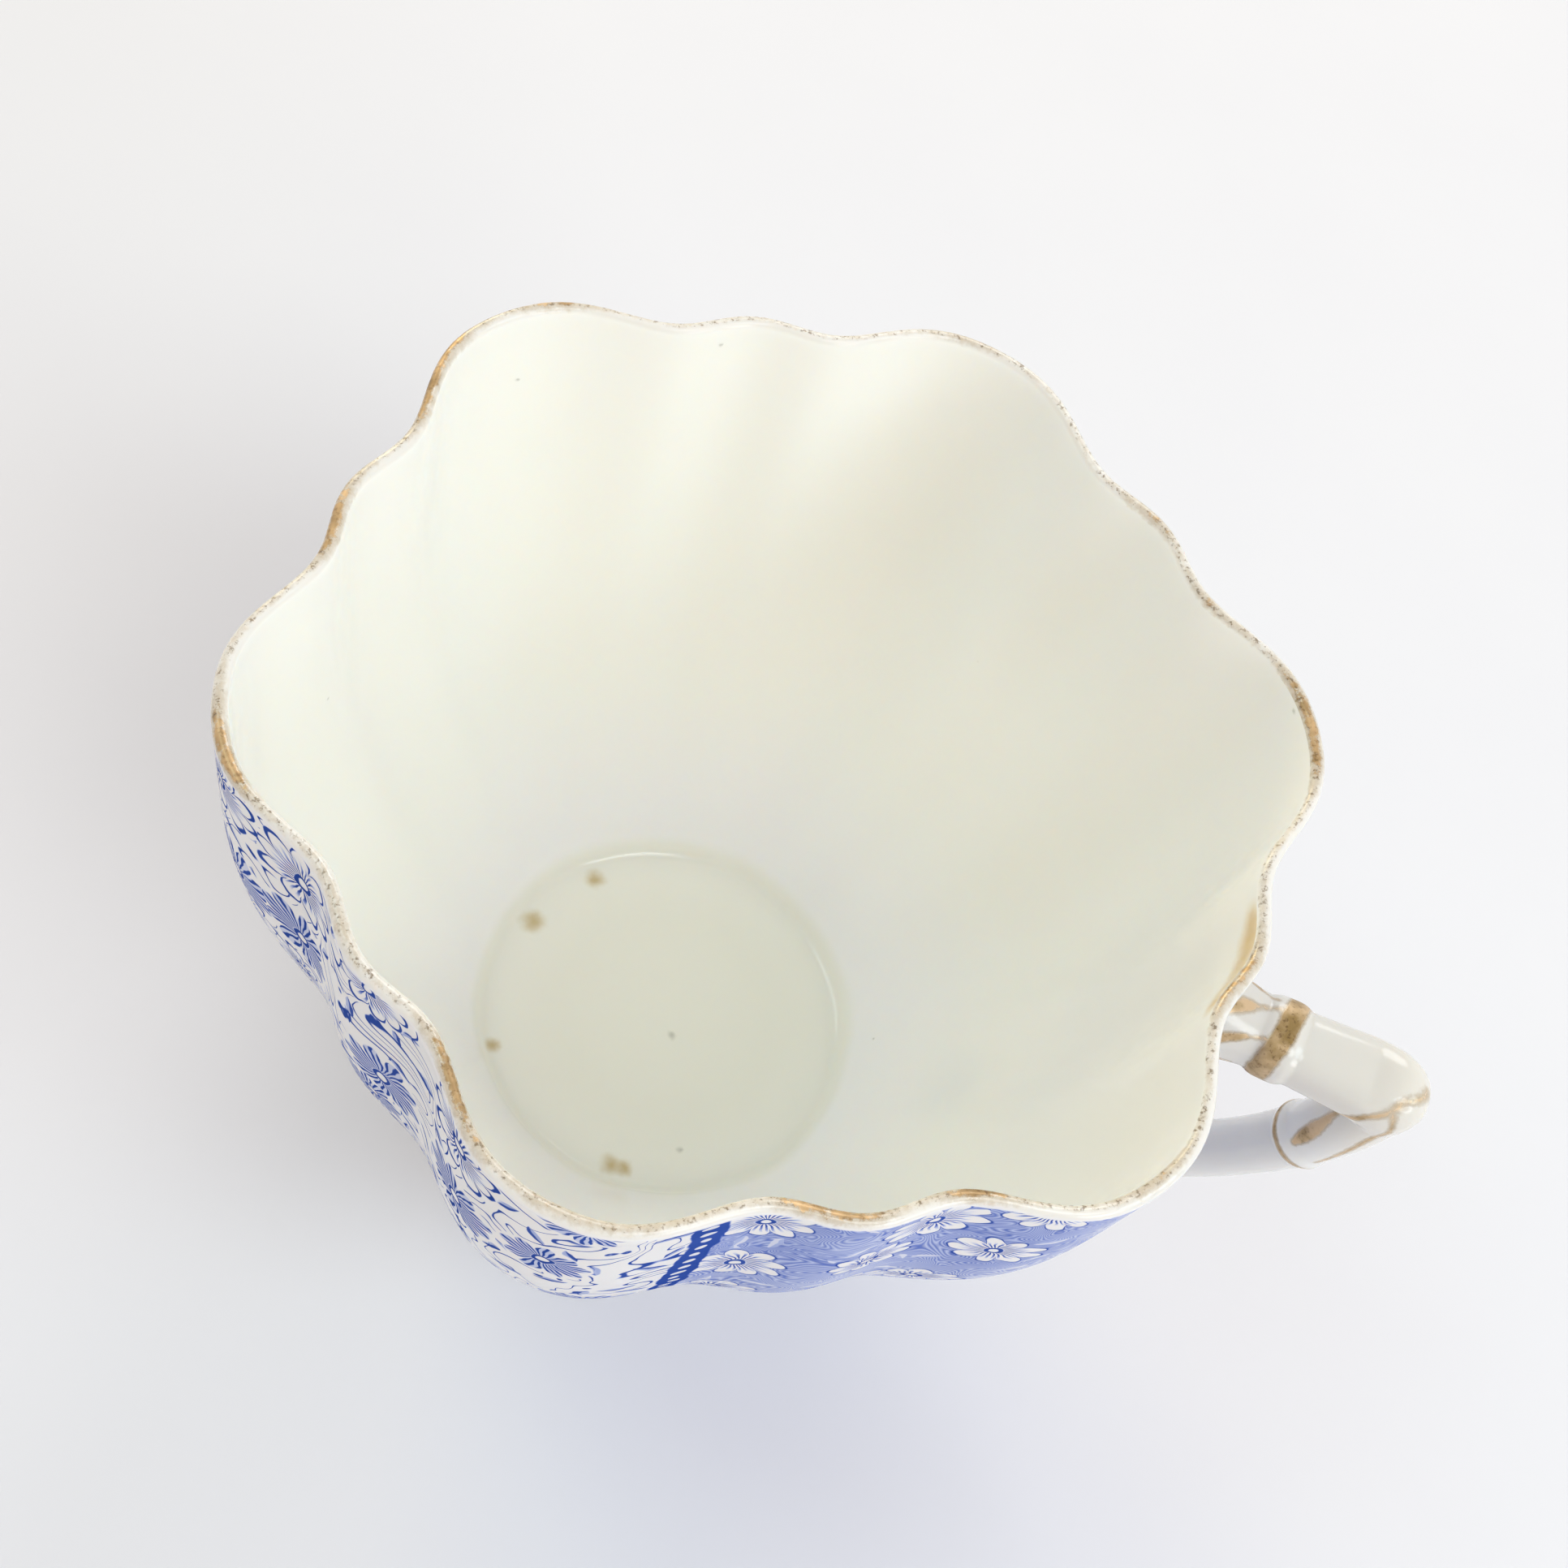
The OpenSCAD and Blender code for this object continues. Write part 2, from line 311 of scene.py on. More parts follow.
def make_bowl():
    """Draws the profile vertex by vertex, spins it round the axis, then presses the flutes into the wall."""
    profile, crest = bowl_profile()
    bpy.ops.object.select_all(action="DESELECT")
    bpy.ops.mesh.primitive_plane_add(size=MM)
    bowl = bpy.context.object
    bowl.name = "bowl_shell"
    bpy.ops.object.mode_set(mode="EDIT")
    bpy.ops.mesh.merge(type="CENTER")
    bpy.ops.transform.translate(value=(profile[0][0] * MM, 0, profile[0][1] * MM))
    for a, b in zip(profile, profile[1:]):
        step = ((b[0] - a[0]) * MM, 0, (b[1] - a[1]) * MM)
        bpy.ops.mesh.extrude_vertices_move(TRANSFORM_OT_translate={"value": step})
    bpy.ops.object.mode_set(mode="OBJECT")

    # Millimetres down from the lip's crest, outside positive, and the same in the print's own measure,
    # which shrinks with the cup's radius so that its flowers stay round
    lengths = [math.dist(a, b) for a, b in zip(profile, profile[1:])]
    from_lip = [sum(lengths[i:crest]) if i < crest else -sum(lengths[crest:i]) for i in range(len(profile))]
    base_drop = from_lip[floor_steps + fillet_steps // 2]
    shrunk = [n * 2 * lip_r / max(a[0] + b[0], lip_r) for n, a, b in zip(lengths, profile, profile[1:])]
    print_drop = [sum(shrunk[i:crest]) for i in range(len(profile))]
    for name, values in (("from_lip", from_lip), ("print_drop", print_drop)):
        bowl.data.attributes.new(name, "FLOAT", "POINT").data.foreach_set("value", values)

    bpy.ops.object.mode_set(mode="EDIT")
    bpy.ops.mesh.select_all(action="SELECT")
    bpy.ops.mesh.spin(steps=around_steps, angle=2 * math.pi, center=(0, 0, 0), axis=(0, 0, 1))
    bpy.ops.mesh.select_all(action="SELECT")
    bpy.ops.mesh.remove_doubles(threshold=MM / 1000)
    bpy.ops.mesh.normals_make_consistent(inside=False)
    bpy.ops.object.mode_set(mode="OBJECT")
    drops = [0.0] * len(bowl.data.vertices)
    bowl.data.attributes["from_lip"].data.foreach_get("value", drops)
    gilding = []
    for v, drop in zip(bowl.data.vertices, drops):
        radius = math.hypot(v.co.x, v.co.y)
        angle = math.atan2(v.co.y, v.co.x)
        out = flute(angle, v.co.z / MM) * MM * min(1, radius / (base_r * MM))
        v.co.x += out * math.cos(angle)
        v.co.y += out * math.sin(angle)
        gilding += lip_gilding(math.degrees(angle), drop)
    bowl.data.attributes.new("gilding", "FLOAT_VECTOR", "POINT").data.foreach_set("vector", gilding)
    for face in bowl.data.polygons:
        drop = sum(drops[i] for i in face.vertices) / len(face.vertices)
        if drop < -print_margin or drop > base_drop:
            face.material_index = 0
        else:
            face.material_index = 1 if drop < print_margin else 2
    bpy.ops.object.shade_smooth()
    return bowl


# The handle's shape
root_x = wall_x(0, bar_z)
low_root_x = wall_x(0, low_root_z)
elbow_x = root_x + handle_reach
elbow_z = bar_z + bar_rise


def middle_line():
    """The handle's middle line in the plane y = 0, as (x, z) from the upper root to the lower one."""
    bend_start = (elbow_x - elbow_run, elbow_z)
    bend_end = (elbow_x, elbow_z - elbow_run)
    bar = list(zip(steps(bar_steps, root_x, bend_start[0]), steps(bar_steps, bar_z, elbow_z)))
    elbow = [quadratic((bend_start, (elbow_x, elbow_z), bend_end), t) for t in steps(elbow_steps, 0, 1)[1:]]
    pull = ((elbow_x, leg_pull_z), (low_root_x + leg_pull_reach, low_root_z))
    leg = [cubic((bend_end, *pull, (low_root_x, low_root_z)), t) for t in steps(leg_steps, 0, 1)[1:]]
    return bar + elbow + leg


def bump(d, w):
    return math.cos(math.pi * d / w) ** 2 if abs(d) < w / 2 else 0


def plateau(d, w):
    return (1 - (2 * d / w) ** 4) ** 2 if abs(d) < w / 2 else 0


def rounded(c, power):
    return math.copysign(abs(c) ** power, c)


def section(p, is_leg):
    """A ring of (y, up) offsets round a point of the middle line: flat-sided on the bar, round on the leg."""
    x, z = p
    wall = low_root_x if z < (bar_z + low_root_z) / 2 else root_x
    spread = math.exp(-((x - wall) / root_len) ** 2)
    leg = clamp((elbow_z - z) / elbow_run)
    leg_t = leg_low_t + (leg_top_t - leg_low_t) * clamp((z - leg_pull_z) / (elbow_z - leg_pull_z))
    knot = 0 if is_leg else plateau(x - root_x - knot_reach, knot_w)
    node = bump(z - elbow_z + node_drop, node_w) if is_leg and x > root_x + handle_reach / 2 else 0
    peak = elbow_peak * bump(math.dist(p, (elbow_x, elbow_z)), 2 * elbow_run)
    extra = root_spread * spread + knot_h * knot + node_h * node
    top_w = bar_w + (elbow_w - bar_w) * clamp((x - root_x) / (elbow_x - root_x))
    half_w = (top_w + (leg_t - top_w) * leg) / 2 + extra
    half_t = (bar_t + (leg_t - bar_t) * leg) / 2 + extra
    power = 1 - bar_squareness * (1 - max(leg, spread))
    ring = []
    for j in range(handle_sides):
        a = 2 * math.pi * j / handle_sides
        keel = max(math.cos(a), 0) ** keel_power * peak
        ring.append((-rounded(math.sin(a), power) * half_w, rounded(math.cos(a), power) * half_t + keel))
    return ring


def skin(name, rings, ends):
    """Skins rings of points in millimetres, in order, and closes the ends by caps or into a hoop."""
    sides = len(rings[0])
    points = [tuple(c * MM for c in p) for ring in rings for p in ring]
    pairs = [(i, i + 1) for i in range(len(rings) - 1)]
    if ends == "hoop":
        pairs.append((len(rings) - 1, 0))
    faces = [
        (a * sides + j, a * sides + (j + 1) % sides, b * sides + (j + 1) % sides, b * sides + j)
        for a, b in pairs
        for j in range(sides)
    ]
    if ends == "caps":
        faces.append(tuple(range(sides)))
        faces.append(tuple(range(len(points) - sides, len(points))))
    mesh = bpy.data.meshes.new(name)
    mesh.from_pydata(points, [], faces)
    piece = bpy.data.objects.new(name, mesh)
    bpy.context.scene.collection.objects.link(piece)
    select_only(piece)
    bpy.ops.object.mode_set(mode="EDIT")
    bpy.ops.mesh.select_all(action="SELECT")
    bpy.ops.mesh.normals_make_consistent(inside=False)
    bpy.ops.object.mode_set(mode="OBJECT")
    bpy.ops.object.shade_smooth()
    return piece


def handle_rings():
    """The handle's rings in millimetres, and how far along the handle each ring lies."""
    line = middle_line()
    rings, places, along = [], [], 0
    for i, p in enumerate(line):
        a, b = line[max(i - heading_reach, 0)], line[min(i + heading_reach, len(line) - 1)]
        length = math.dist(a, b)
        heading = ((b[0] - a[0]) / length, (b[1] - a[1]) / length)
        if i == 0:
            heading = (1, 0)
        if i == len(line) - 1:
            heading = (-1, 0)
        ring = section(p, i > bar_steps + elbow_steps // 2)
        along += math.dist(p, line[i - 1]) if i else 0
        rings.append([(p[0] - heading[1] * up, y, p[1] + heading[0] * up) for y, up in ring])
        places.append(along)
    for end in (0, -1):
        rings[end] = [(wall_x(y, z) + root_gap, y, z) for _, y, z in rings[end]]
    return rings, places


def stroke_depth(stroke, along, degrees):
    """How deep in millimetres a place on the handle lies inside a brush stroke, below zero outside it."""
    deepest = -9.0
    for (a, side_a, half_a), (b, side_b, half_b) in zip(stroke, stroke[1:]):
        run, rise = b - a, (side_b - side_a) * math.radians(handle_girth)
        go, climb = along - a, (degrees - side_a) * math.radians(handle_girth)
        t = clamp((go * run + climb * rise) / (run * run + rise * rise))
        depth = half_a + (half_b - half_a) * t - math.hypot(go - run * t, climb - rise * t)
        deepest = max(deepest, depth)
    return deepest


def handle_gilding(along, degrees):
    """How deep in millimetres a place on the handle lies inside its gilding, and how dull that gold is:
    tarnish, and a painted dark reflection.

    The depth is given twice, because the handle has no older, wider band as the lip has.
    """
    strokes = [stroke_depth(stroke, along, degrees) for stroke in near_strokes]
    strokes += [stroke_depth(stroke, along, abs(degrees)) for stroke in side_strokes]
    found = [(max(strokes), stroke_tarnish_and_dark_reflection)]
    for middle, lean, half, tarnish_and_dark_reflection in (collar_band, node_band):
        found.append((half - abs(along - middle - lean * math.sin(math.radians(degrees))), tarnish_and_dark_reflection))
    depth, tarnish_and_dark_reflection = max(found)
    return depth, depth, tarnish_and_dark_reflection


def make_handle(rings, places):
    """A twig swept from the upper root over its knot, elbow and node to the lower root."""
    handle = skin("twig_handle", rings, "caps")
    gilding = []
    for along in places:
        for j in range(handle_sides):
            gilding += handle_gilding(along, (360 * j / handle_sides + 180) % 360 - 180)
    handle.data.attributes.new("gilding", "FLOAT_VECTOR", "POINT").data.foreach_set("vector", gilding)
    return handle


def make_slip_joint(name, root, middle_z):
    """A fillet of slip round a root: it curves from the wall to the root's side and laps under the root."""
    on_root = next(ring for ring in root if min(x - wall_x(y, z) for x, y, z in ring) > slip_climb)
    loops = []
    for x, y, z in on_root:
        reach = math.hypot(y, z - middle_z)
        edge = [c * (reach + slip_spread) / reach for c in (y, z - middle_z)]
        foot = (wall_x(edge[0], middle_z + edge[1]) - slip_sink, edge[0], middle_z + edge[1])
        corner = (wall_x(y, z), y, z)
        top = (x, y, z)
        curve = [
            tuple((1 - t) ** 2 * f + 2 * (1 - t) * t * c + t * t * e for f, c, e in zip(foot, corner, top))
            for t in steps(slip_steps, 0, 1)
        ]
        lap = 1 - slip_lap / reach
        back = (wall_x(y, z) + root_gap, y * lap, middle_z + (z - middle_z) * lap)
        loops.append(curve + [back])
    return skin(name, loops, "hoop")


# Materials
def linear(colour):
    """An sRGB hex colour as linear RGBA."""
    parts = [int(colour[i:i + 2], 16) / 255 for i in (1, 3, 5)]
    return [c / 12.92 if c <= 0.04045 else ((c + 0.055) / 1.055) ** 2.4 for c in parts] + [1]


def add(tree, kind, *sources, inputs=None, **settings):
    """Adds one shader node of a kind, which a dot parts from its mode of working.

    Sources feed its inputs in order, inputs feeds them by name, and settings are its own properties.
    """
    kind, _, mode = kind.partition(".")
    node = tree.nodes.new("ShaderNode" + kind)
    if mode:
        settings["interpolation_type" if kind == "MapRange" else "operation"] = mode
    for key, value in settings.items():
        setattr(node, key, value)
    fed = list(zip(node.inputs, sources)) + [(node.inputs[k], v) for k, v in (inputs or {}).items()]
    for socket, source in fed:
        if isinstance(source, bpy.types.Node):
            source = source.outputs[0]
        if isinstance(source, bpy.types.NodeSocket):
            tree.links.new(source, socket)
        elif source is not None:
            socket.default_value = source
    return node


def new_material(name):
    """A material, the function that adds nodes to it, and the place on the piece in metres."""
    material = bpy.data.materials.new(name)
    material.use_nodes = True
    material.node_tree.nodes.clear()
    node = partial(add, material.node_tree)
    return material, node, node("TexCoord").outputs["Object"]


# The white inside the cup; the greyer white outside it, partly the haze of fine print lines and partly
# painted shade; and the handle's leg, whose cooler white is painted shade and turns into the bar's own
# warmer white between two heights in millimetres
china_white = linear("#f6f5ee")
outer_white_with_painted_shade = linear("#e6e5e3")
leg_painted_shade_white = linear("#e6e5e0")
leg_shade_end_z = 46
bar_light_start_z = 53

# The glaze, its ripple in millimetres, and how deep in millimetres light goes into the china, by colour
glaze_rough = 0.12
glaze_ior = 1.5
ripple_space = 9
light_depth = 1.5
light_tint = (1, 0.9, 0.78)

# The floor of the cup, as radii in millimetres: where glaze has pooled and the floor is painted darker,
# partly pooled glaze and partly painted shade, and where spoons have dulled it
pool_and_shade_r = (10, 17)
dull_r = (9, 17)
dull_rough = 0.26


def glaze(node, place, colour, metal=0.0, roughness=glaze_rough, through=1.0, shine=0.5):
    """A clear gloss glaze with a faint ripple, over bone china that lets a little light through its wall."""
    ripple = node("TexNoise", place, inputs={"Scale": 1 / (ripple_space * MM), "Detail": 2})
    wavy = node("Bump", inputs={"Strength": 0.06, "Distance": 0.3 * MM, "Height": ripple})
    china = node("BsdfPrincipled", inputs={
        "Base Color": colour, "Metallic": metal, "Roughness": roughness, "IOR": glaze_ior, "Normal": wavy,
        "Specular IOR Level": shine, "Subsurface Weight": through, "Subsurface Radius": light_tint,
        "Subsurface Scale": light_depth * MM,
    })
    node("OutputMaterial", china)


def inner_china():
    """Warm white china under gloss glaze, painted whiter low on the wall, a painted light. On the floor it is
    painted darker and yellower, partly pooled glaze and partly painted shade, and stirring has dulled it.

    Tea has left stains, gilding has spread thinly inside the lip, and the glaze has small grey pits.
    """
    material, node, place = new_material("glazed_bone_china")
    blur = node("TexNoise", place, inputs={"Scale": 1 / (1.6 * MM), "Detail": 3})
    ragged = node("VectorMath.MULTIPLY_ADD", blur.outputs["Color"], (MM, MM, MM), place)
    height = node("SeparateXYZ", place).outputs["Z"]
    # Painted light: the wall is painted whiter low down, where the deep cup lies in shade
    up_from_painted_light = node("MapRange.SMOOTHSTEP", height, 6 * MM, 28 * MM)
    wall = node("MixRGB", up_from_painted_light, linear("#fefdf5"), china_white)
    # Painted shade and pooled glaze: the floor is painted darker and yellower, less at its edge, where shade
    # already falls
    low = node("MapRange.SMOOTHSTEP", height, (floor_z + 2.2) * MM, (floor_z + 0.2) * MM)
    radius = node("VectorMath.LENGTH", node("VectorMath.MULTIPLY", place, (1, 1, 0))).outputs["Value"]
    pool_and_shade = node("MapRange.SMOOTHSTEP", radius, pool_and_shade_r[0] * MM, pool_and_shade_r[1] * MM, 0.9, 0.65)
    pooled_and_shaded = node("Math.MULTIPLY", low, pool_and_shade)
    colour = node("MixRGB", pooled_and_shaded, wall, linear("#edece0"))
    kinds = ((stains, "#c2a860", 0.76), (pits, "#8f8f80", 0.45), (gold_spread, "#dcc082", 0.9))
    for marks, hue, strength in kinds:
        for spot, size in marks:
            middle = [c * MM + MM / 2 for c in spot]
            off = node("VectorMath.DISTANCE", ragged, middle).outputs["Value"]
            mark = node("MapRange.SMOOTHSTEP", off, size * MM, 0, 0, strength)
            colour = node("MixRGB", mark, colour, linear(hue))
    # The dense print outside and the handle's root keep light out of the wall behind them
    behind = node("VectorMath.DISTANCE", place, [c * MM for c in dense_print]).outputs["Value"]
    through = node("MapRange.SMOOTHSTEP", behind, dense_reach[0] * MM, dense_reach[1] * MM, 0.2, 1)
    dull = node("MapRange.SMOOTHSTEP", radius, dull_r[0] * MM, dull_r[1] * MM, dull_rough, glaze_rough)
    glaze(node, place, colour, roughness=dull, through=through)
    return material


def gilded_china(name, ground, bright, dull, ragged, film_reach):
    """Gilding brushed on the glaze and rubbed by use: ochre metal where whole, brown specks where worn.

    In millimetres, ragged is how far wear has eaten its edge, and film_reach how far a thin film runs on.
    """
    material, node, place = new_material(name)
    depth = node("SeparateXYZ", node("Attribute", attribute_name="gilding").outputs["Vector"])
    rub = node("TexNoise", place, inputs={"Scale": 1 / (0.8 * MM), "Detail": 4, "Roughness": 0.7})
    rubbed = node("Math.MULTIPLY_ADD", rub, ragged, node("Math.SUBTRACT", depth.outputs["X"], ragged / 2))
    whole = node("MapRange.SMOOTHSTEP", rubbed, -0.12, 0.18, 0, 0.9)
    ghost = node("MapRange.SMOOTHSTEP", depth.outputs["Y"], -0.05, 0.2)
    grit = node("TexNoise", place, inputs={"Scale": 1 / (0.35 * MM), "Detail": 3, "Roughness": 0.6})
    speck = node("MapRange.SMOOTHSTEP", grit, 0.52, 0.68, 0, 0.8)
    # How dull the gold is: tarnish, and a painted dark reflection that stands in for dark surroundings
    # mirrored in the metal
    tarnish_and_dark_reflection = node("TexNoise", place, inputs={"Scale": 1 / (2.2 * MM), "Detail": 3})
    cloudy = node("MapRange", tarnish_and_dark_reflection, 0.3, 0.7, -0.6, 0.6)
    dark = node("Math.ADD", depth.outputs["Z"], cloudy, use_clamp=True)
    drop = node("Attribute", attribute_name="from_lip").outputs["Fac"]
    height = node("SeparateXYZ", place).outputs["Z"]
    # Painted light and shade: the leg's cooler white and the bar's warmer white stand in for how light falls
    # on the handle; the lip's and handle's greyer grounds and the greyer outside white are painted shade
    above_leg_shade = node("MapRange.SMOOTHSTEP", height, leg_shade_end_z * MM, bar_light_start_z * MM)
    ground_with_painted_shade = node("MixRGB", above_leg_shade, leg_painted_shade_white, linear(ground))
    rim = node("MixRGB", node("MapRange.SMOOTHSTEP", drop, -0.95, -0.45), china_white, ground_with_painted_shade)
    bare = node("MixRGB", node("MapRange.SMOOTHSTEP", drop, 0.5, print_margin), rim, outer_white_with_painted_shade)
    film = node("MapRange.SMOOTHSTEP", rubbed, -film_reach, -0.05, 0, 0.85)
    worn = node("MixRGB", film, bare, linear("#c6bba7"))
    specked = node("MixRGB", node("Math.MULTIPLY", speck, ghost), worn, linear("#7d6a4e"))
    clean_gold = node("MixRGB", dark, linear(bright), linear(dull))
    gold = node("MixRGB", node("Math.MULTIPLY", speck, dark), clean_gold, linear("#5f3f1a"))
    colour = node("MixRGB", whole, specked, gold)
    metal = node("Math.MULTIPLY", whole, 0.45)
    glaze(node, place, colour, metal, node("MapRange", whole, 0, 1, glaze_rough, 0.42))
    return material


def printed_china():
    """Cobalt transfer print under the glaze: flowers, leaves and fine lines in blue on white.

    Two panels turn it round: white flowers on a hatched blue ground, between dark beaded ribbons.
    """
    material, node, place = new_material("printed_bone_china")
    turned = node("Mapping", place, inputs={"Rotation": (0, 0, math.radians(180 - print_seam))})
    round_axis = node("SeparateXYZ", turned)
    angle = node("Math.ARCTAN2", round_axis.outputs["Y"], round_axis.outputs["X"])
    drop = node("Attribute", attribute_name="print_drop").outputs["Fac"]
    hand = node("TexNoise", place, inputs={"Scale": 1 / (3 * MM), "Detail": 2})
    shake = node("VectorMath.MULTIPLY_ADD", hand.outputs["Color"], (1.6, 1.6, 0), (-0.8, -0.8, 0))
    flat = node("CombineXYZ", node("Math.MULTIPLY", angle, lip_r), drop)
    drawn = node("VectorMath.ADD", flat, shake)

    # A flower in each bed: how near its middle a place is, and how far inside the rim of its petals
    beds = node("TexVoronoi", drawn, voronoi_dimensions="2D", inputs={
        "Scale": 1 / bed_space, "Randomness": 0.6,
    })
    luck = node("SeparateColor", beds.outputs["Color"])
    offset = node("VectorMath.SUBTRACT", drawn, beds.outputs["Position"])
    spoke = node("SeparateXYZ", offset)
    bearing = node("Math.ARCTAN2", spoke.outputs["Y"], spoke.outputs["X"])
    turn = node("Math.MULTIPLY_ADD", luck.outputs["Red"], math.tau, bearing)
    size = node("Math.MULTIPLY_ADD", luck.outputs["Green"], flower_more, flower_r)
    near = node("Math.DIVIDE", node("VectorMath.LENGTH", offset).outputs["Value"], size)
    petal = node("Math.ABSOLUTE", node("Math.COSINE", node("Math.MULTIPLY", turn, petals / 2)))
    rim = node("Math.MULTIPLY_ADD", node("Math.POWER", petal, 0.5), 0.5, 0.5)
    inside = node("Math.SUBTRACT", rim, near)
    body = node("MapRange.SMOOTHSTEP", inside, -0.02, 0.04)
    outline = node("MapRange.SMOOTHSTEP", node("Math.ABSOLUTE", inside), 0.075, 0.03)
    rays = node("Math.COSINE", node("Math.MULTIPLY", turn, petals * 3))
    stroke = node("MapRange.SMOOTHSTEP", rays, -0.3, 0.7)
    eye = node("MapRange.SMOOTHSTEP", node("Math.ABSOLUTE", node("Math.SUBTRACT", near, 0.17)), 0.06, 0.03)
    beyond_eye = node("MapRange.SMOOTHSTEP", near, 0.2, 0.26)
    fading = node("MapRange.SMOOTHSTEP", near, 0.75, 0.3)
    veins = node("Math.MULTIPLY", stroke, node("Math.MULTIPLY", body, fading))
    veined = node("Math.MAXIMUM", outline, veins)
    filled = node("Math.MULTIPLY", body, node("MapRange", stroke, 0, 1, 0.2, 1))
    chosen = node("MixRGB", node("Math.GREATER_THAN", luck.outputs["Blue"], 0.4), filled, veined)
    flower = node("Math.MAXIMUM", eye, node("Math.MULTIPLY", chosen, beyond_eye))
    reserved = node("Math.MAXIMUM", eye, node("Math.MULTIPLY", veined, beyond_eye))
    clear = node("MapRange.SMOOTHSTEP", near, 1.02, 1.12)

    # Leaves strewn between the flowers, each with one dark half
    twigs = node("TexVoronoi", drawn, voronoi_dimensions="2D", inputs={
        "Scale": 1 / leaf_space, "Randomness": 0.8,
    })
    leaf_turn = node("Math.MULTIPLY", node("SeparateColor", twigs.outputs["Color"]), math.tau)
    leaf_off = node("VectorMath.SUBTRACT", drawn, twigs.outputs["Position"])
    leaf_lie = node("VectorRotate", leaf_off, rotation_type="Z_AXIS", inputs={"Angle": leaf_turn})
    leaf = node("SeparateXYZ", leaf_lie)
    leaf_long = node("Math.POWER", node("Math.ABSOLUTE", leaf.outputs["X"]), 2)
    leaf_edge = node("Math.MULTIPLY_ADD", leaf_long, -0.2, 0.45)
    leaf_in = node("Math.SUBTRACT", leaf_edge, node("Math.ABSOLUTE", leaf.outputs["Y"]))
    leaf_body = node("Math.MULTIPLY", node("MapRange.SMOOTHSTEP", leaf_in, -0.03, 0.07), clear)
    leaf_tone = node("MapRange.SMOOTHSTEP", leaf.outputs["Y"], -0.04, 0.08, 0.35, 0.9)
    leaf_ink = node("Math.MULTIPLY", leaf_body, leaf_tone)

    # Engraved lines that wander between them
    swell = node("TexNoise", place, inputs={"Scale": 1 / (7 * MM), "Detail": 1.5, "Distortion": 0.8})
    level = node("Math.PINGPONG", node("Math.MULTIPLY", swell, 10), 0.5)
    line = node("Math.MULTIPLY", node("MapRange.SMOOTHSTEP", level, 0.085, 0.03), clear)
    on_white = node("Math.MAXIMUM", flower, node("Math.MAXIMUM", leaf_ink, line))

    # The blue ground of the panels, with flowers and leaves left white in it
    hatching = node("Math.PINGPONG", node("Math.MULTIPLY", swell, 45), 0.5)
    ground = node("MapRange", hatching, 0, 0.5, 0.25, 0.58)
    cover = node("Math.MAXIMUM", body, leaf_body)
    left_white = node("Math.MAXIMUM", reserved, node("Math.MULTIPLY", leaf_ink, 0.35))
    on_blue = node("MixRGB", cover, ground, left_white)
    spread = node("Math.ADD", angle, math.radians(print_seam - 180 - panel_middle))
    off_middle = node("Math.MULTIPLY", node("Math.PINGPONG", spread, math.pi / 2), lip_r)
    to_edge = node("Math.SUBTRACT", off_middle, math.radians(panel_half) * lip_r)
    panel = node("MapRange.SMOOTHSTEP", to_edge, 0.1, -0.1)
    ink = node("MixRGB", panel, on_white, on_blue)

    # Dark ribbons on the panels' edges, with a row of white beads
    off_ribbon = node("Math.ABSOLUTE", node("Math.ADD", to_edge, node("SeparateXYZ", shake)))
    beads = node("CombineXYZ", off_ribbon, node("Math.PINGPONG", drop, bead_space / 2))
    bead = node("MapRange.SMOOTHSTEP", node("VectorMath.LENGTH", beads).outputs["Value"], 0.5, 0.4)
    ribbon = node("MapRange.SMOOTHSTEP", off_ribbon, ribbon_half, ribbon_half - 0.2)
    ink = node("MixRGB", ribbon, ink, node("MapRange", bead, 0, 1, 1, 0.05))

    # Bare under the lip, two thin lines above the foot, and uneven as transfer ink is
    height = node("SeparateXYZ", place).outputs["Z"]
    drawn_drop = node("Math.ADD", drop, node("SeparateXYZ", shake))
    top = node("MapRange.SMOOTHSTEP", drawn_drop, print_margin, print_margin + 0.3)
    low = node("MapRange.SMOOTHSTEP", height, print_end_z * MM, (print_end_z + 0.3) * MM)
    off_line = node("Math.PINGPONG", height, foot_line_space / 2 * MM)
    lines = node("MapRange.SMOOTHSTEP", off_line, 0.2 * MM, 0.1 * MM)
    by_foot = node("Math.COMPARE", height, foot_lines_z * MM, foot_lines_half * MM)
    foot_lines = node("Math.MULTIPLY", lines, by_foot)
    mottle = node("TexNoise", place, inputs={"Scale": 1 / (5 * MM), "Detail": 3})
    density = node("MapRange", mottle, 0.3, 0.7, 0.8, 1)
    ink = node("Math.MAXIMUM", node("Math.MULTIPLY", ink, node("Math.MULTIPLY", top, low)), foot_lines)
    ink = node("Math.MULTIPLY", ink, density)
    ramp = node("ValToRGB", ink)
    # The print's white ground is the outside's greyer white, partly the haze of fine lines and partly painted
    # shade
    ramp.color_ramp.elements[0].color = outer_white_with_painted_shade
    ramp.color_ramp.elements[1].color = linear("#304c9a")
    for stop, hue in ((0.25, "#a9b6de"), (0.5, "#6a7dc0"), (0.8, "#3e58a6")):
        ramp.color_ramp.elements.new(stop).color = linear(hue)
    # Glazed all over, but where the wall turns away the ink keeps its depth
    bare = node("MapRange", ink, 0, 0.5, 1, 0)
    facing = node("LayerWeight").outputs["Facing"]
    turned_to = node("MapRange", facing, 0.3, 0.65, 0.5, 0)
    gloss = node("Math.MAXIMUM", turned_to, node("Math.MULTIPLY", bare, 0.25))
    glaze(node, place, ramp, through=bare, shine=gloss)
    return material


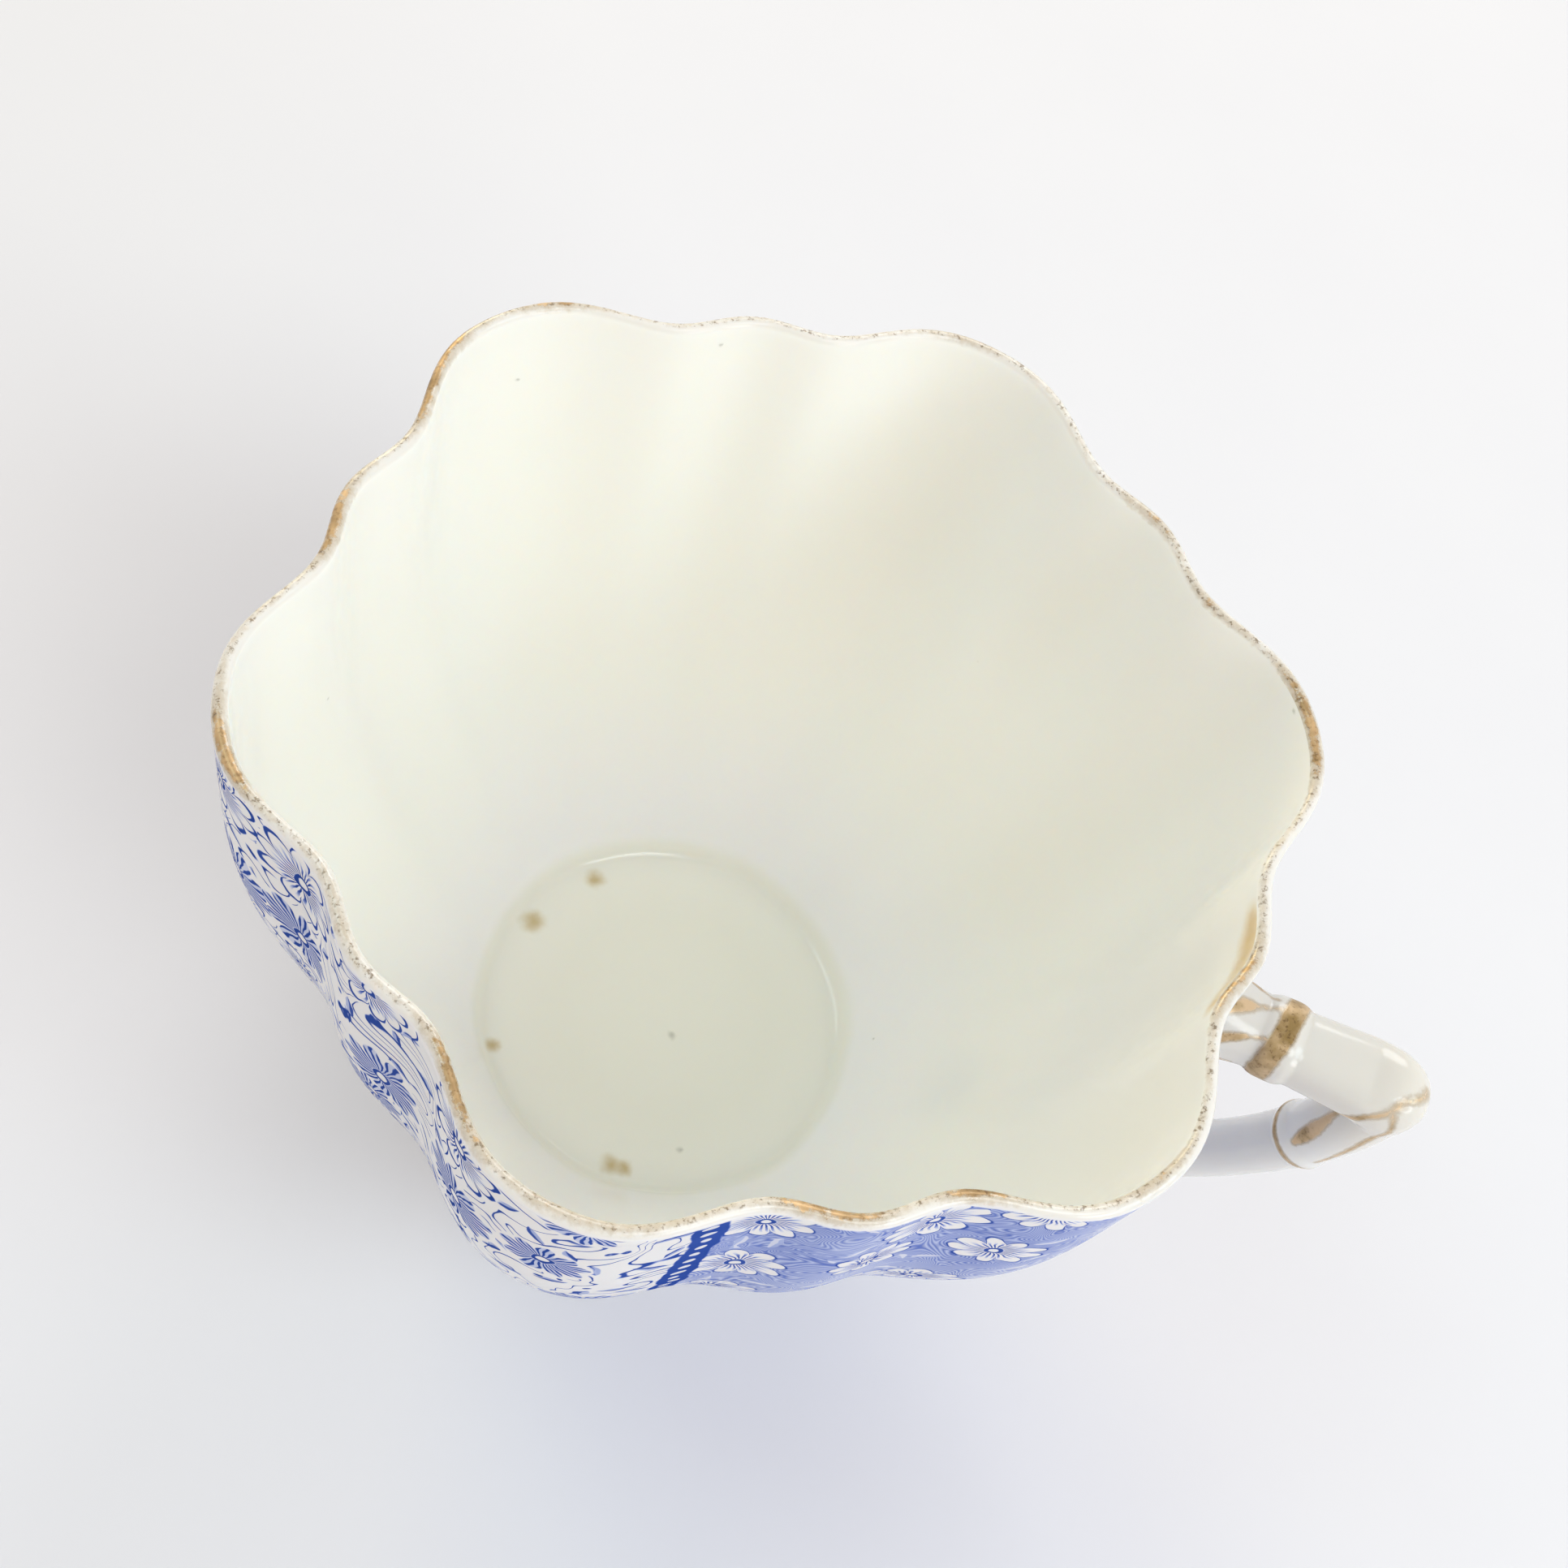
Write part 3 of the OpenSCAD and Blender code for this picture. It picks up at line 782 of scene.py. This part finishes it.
def foot_china():
    """The foot ring's china: glazed on its sides, wiped bare, rough and greyed on the edge it stands on."""
    material, node, place = new_material("foot_bone_china")
    height = node("SeparateXYZ", place).outputs["Z"]
    grit = node("TexNoise", place, inputs={"Scale": 1 / (1.2 * MM), "Detail": 4})
    uneven = node("Math.MULTIPLY_ADD", grit, 0.5 * MM, height)
    bare = node("MapRange.SMOOTHSTEP", uneven, 0.7 * MM, 0.4 * MM)
    soiled = node("MixRGB", grit, linear("#e6dfce"), linear("#c9bda4"))
    roughness = node("MapRange", bare, 0, 1, glaze_rough, 0.6)
    glaze(node, place, node("MixRGB", bare, china_white, soiled), roughness=roughness)
    return material


def seen_rays(node):
    """One for rays that the camera, a gloss or a glass sends out, so that these see the backdrop as white."""
    path = node("LightPath").outputs
    mirrored = node("Math.MAXIMUM", path["Is Glossy Ray"], path["Is Transmission Ray"])
    return node("Math.MAXIMUM", path["Is Camera Ray"], mirrored)


def table_top():
    """A matt white table top, faintly cloudy, that fades into the white backdrop away from the object."""
    material, node, place = new_material("matt_white_table")
    cloud = node("TexNoise", place, inputs={"Scale": 1 / (40 * MM), "Detail": 3})
    tint = node("MixRGB", cloud, linear("#e7e6e7"), linear("#ebeaea"))
    top = node("BsdfPrincipled", inputs={"Base Color": tint, "Roughness": 0.8})
    distance = node("VectorMath.LENGTH", place).outputs["Value"]
    far = node("MapRange.SMOOTHSTEP", distance, fade_start, fade_end)
    fade = node("Math.MULTIPLY", far, seen_rays(node))
    node("OutputMaterial", node("MixShader", fade, top, node("Emission", (1, 1, 1, 1), 1)))
    return material


# The pieces, each in its place on the cup
china = inner_china()
bowl = make_bowl()
# The lip's ground is a greyer white than the inside china, painted shade
lip_gilt = gilded_china("worn_gilding_on_bone_china", "#e3e0d8", "#d0ad7c", "#90703a", 1.5, 0.85)
for material in (china, lip_gilt, printed_china()):
    bowl.data.materials.append(material)
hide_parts("bowl")
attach(bowl, "root")

rings, places = handle_rings()
handle = make_handle(rings, places)
# The handle's ground is a darker, warmer white than the inside china: painted shade, and the warm tint of
# light from above
handle_gilt = gilded_china("gilded_handle_china", "#e2ded3", "#d8ba90", "#8a6a1f", 0.4, 0.25)
handle.data.materials.append(handle_gilt)
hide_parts("handle")
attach(handle, "root")

for name, root, middle_z in (("upper_slip", rings[1:], bar_z), ("lower_slip", rings[-2::-1], low_root_z)):
    slip = make_slip_joint(name, root, middle_z)
    slip.data.materials.append(china)
    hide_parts(name + "_joint")
    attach(slip, "root")

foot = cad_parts["foot_ring"]
foot.data.materials.clear()
foot.data.materials.append(foot_china())

# Table, light and camera
bpy.ops.mesh.primitive_plane_add(size=table_size)
table = bpy.context.object
table.name = "table"
table.data.materials.append(table_top())

scene = bpy.context.scene
world = bpy.data.worlds.new("soft_room")
scene.world = world
world.use_nodes = True
world.node_tree.nodes.clear()
node = partial(add, world.node_tree)
room = node("Background", room_light, 1)
backdrop = node("Background", (1, 1, 1, 1), 1)
node("OutputWorld", node("MixShader", seen_rays(node), room, backdrop))

for name, azimuth, elevation, watts, hue in lamps:
    turn, rise = math.radians(azimuth), math.radians(elevation)
    toward = Vector((math.cos(turn) * math.cos(rise), math.sin(turn) * math.cos(rise), math.sin(rise)))
    bpy.ops.object.light_add(type="AREA", location=toward + lamp_aim)
    lamp = bpy.context.object
    lamp.name = name
    lamp.data.shape = "DISK"
    lamp.data.size = lamp_size
    lamp.data.energy = watts
    lamp.data.color = hue
    lamp.rotation_euler = (-toward).to_track_quat("-Z", "Y").to_euler()

camera_data = bpy.data.cameras.new("photo_camera")
camera_data.sensor_width = sensor
camera_data.lens = lens
camera_data.clip_start = 10 * MM
camera = bpy.data.objects.new("photo_camera", camera_data)
camera.location = camera_place
camera.rotation_euler = Euler([math.radians(a) for a in camera_turn])
scene.collection.objects.link(camera)
scene.camera = camera
scene.view_settings.view_transform = "Standard"

bpy.context.view_layer.update()
